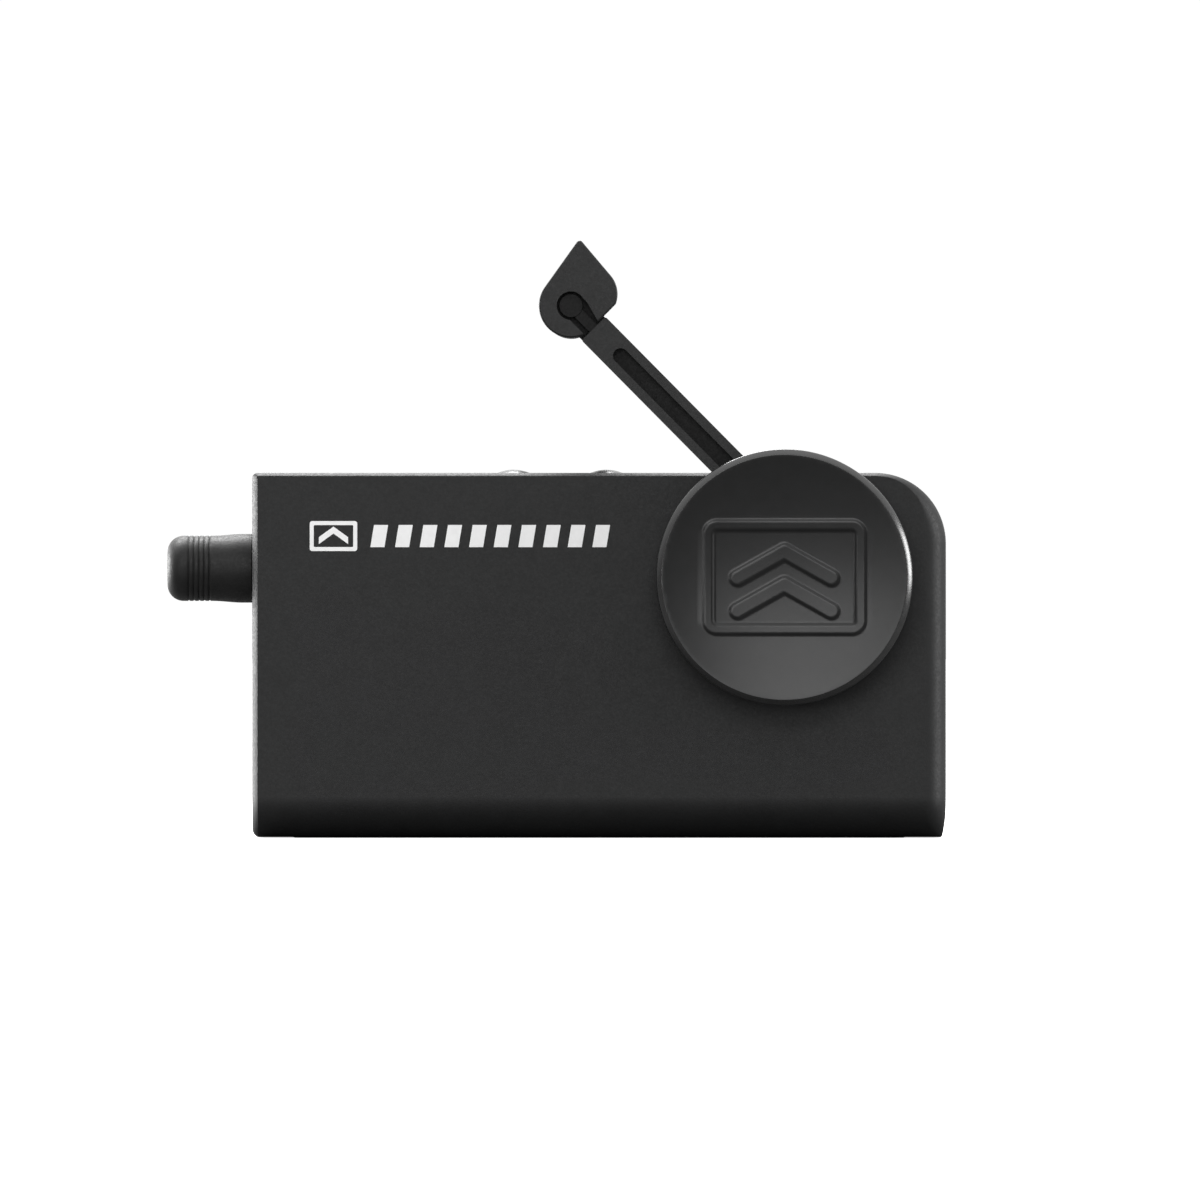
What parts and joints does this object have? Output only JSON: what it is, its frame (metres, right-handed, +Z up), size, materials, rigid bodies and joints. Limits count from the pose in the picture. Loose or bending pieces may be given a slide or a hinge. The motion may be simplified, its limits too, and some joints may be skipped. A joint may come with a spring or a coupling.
{
  "type": "telephone handset lifter",
  "caption": "Motorised handset lifter: low box with a geared swinging arm under a round cap, a swivelling lifting bar, a ribbed side knob and domed top buttons.",
  "frame": {"origin": "on the desk, centre of the base pad's underside, under the middle of the box", "axes": "+X to the right end (hub and cap), -X to the knob, -Y to the front (cap side), +Y to the telephone, +Z up"},
  "size_m": [0.1067, 0.062, 0.0817],
  "materials": {
    "shell_plastic": "fine spark-eroded matte black",
    "satin_plastic": "smooth satin black",
    "soft_rubber": "soft matte black",
    "pad_foam": "closed-cell foam with adhesive face",
    "white_plastic": "natural white, smooth",
    "steel": "zinc plated",
    "bearing_brass": "turned",
    "circuit_board": "green solder mask",
    "component_plastic": "moulded black"
  },
  "bodies": {
    "housing": {"front_shell": "shell_plastic", "rear_shell": "shell_plastic", "base_pad": "soft_rubber", "phone_pad": "pad_foam", "case_screw_1": "steel", "case_screw_2": "steel", "case_screw_3": "steel", "case_screw_4": "steel", "front_bush": "bearing_brass", "plate_bush": "bearing_brass", "limit_switch_low": "component_plastic", "limit_switch_high": "component_plastic", "gear_plate": "steel", "plate_screw_1": "steel", "plate_screw_2": "steel", "plate_screw_3": "steel", "idler_axle": "steel", "idler_clip": "steel", "gearbox_case": "component_plastic", "motor_can": "steel", "motor_screw_1": "steel", "motor_screw_2": "steel", "main_board": "circuit_board", "processor_chip": "component_plastic", "capacitor": "component_plastic", "modular_socket": "component_plastic", "board_screw_1": "steel", "board_screw_2": "steel", "board_ribbon": "white_plastic", "control_board": "circuit_board", "raise_switch": "component_plastic", "lower_switch": "component_plastic", "potentiometer": "component_plastic", "pot_nut": "steel"},
    "arm": {"hub_cap": "satin_plastic", "hub_screw": "steel", "hub_shaft": "steel", "output_sector": "white_plastic", "limit_cam": "white_plastic", "shaft_clip": "steel", "lift_arm": "shell_plastic", "tip_pin": "steel"},
    "tip": {"lift_tip": "shell_plastic", "tip_pad": "soft_rubber"},
    "idler": {"idler_gear": "white_plastic"},
    "pinion": {"drive_pinion": "bearing_brass", "motor_shaft": "steel"},
    "knob": {"pot_shaft": "steel", "adjuster_knob": "soft_rubber"},
    "raise_key": {"raise_button": "satin_plastic"},
    "lower_key": {"lower_button": "satin_plastic"}
  },
  "joints": [
    {"name": "arm_lift", "type": "hinge", "parent": "housing", "child": "arm", "pos_m": [0.0253, -0.016, 0.0357], "axis": [0, 1, 0], "range_deg": [-26, 25]},
    {"name": "tip_swivel", "type": "hinge", "parent": "arm", "child": "tip", "pos_m": [-0.00385, -0.0185, 0.07283], "axis": [0, -1, 0], "range_deg": [0, 7]},
    {"name": "idler_spin", "type": "hinge", "parent": "housing", "child": "idler", "pos_m": [0.01059, -0.009, 0.02099], "axis": [0, 1, 0], "range_deg": [-90, 90]},
    {"name": "pinion_spin", "type": "hinge", "parent": "housing", "child": "pinion", "pos_m": [-0.00861, -0.011, 0.02099], "axis": [0, 1, 0], "range_deg": [-265, 255]},
    {"name": "knob_turn", "type": "hinge", "parent": "housing", "child": "knob", "pos_m": [-0.05, -0.006, 0.03695], "axis": [1, 0, 0], "range_deg": [-135, 135]},
    {"name": "raise_press", "type": "slide", "parent": "housing", "child": "raise_key", "axis": [0, 0, -1], "range_m": [0, 0.0004], "stiffness_N_per_m": 500},
    {"name": "lower_press", "type": "slide", "parent": "housing", "child": "lower_key", "axis": [0, 0, -1], "range_m": [0, 0.0004], "stiffness_N_per_m": 500}
  ],
  "couplings": [
    {"joint": "idler_spin", "follows": "arm_lift", "ratio": -3.3333},
    {"joint": "pinion_spin", "follows": "arm_lift", "ratio": 10}
  ]
}
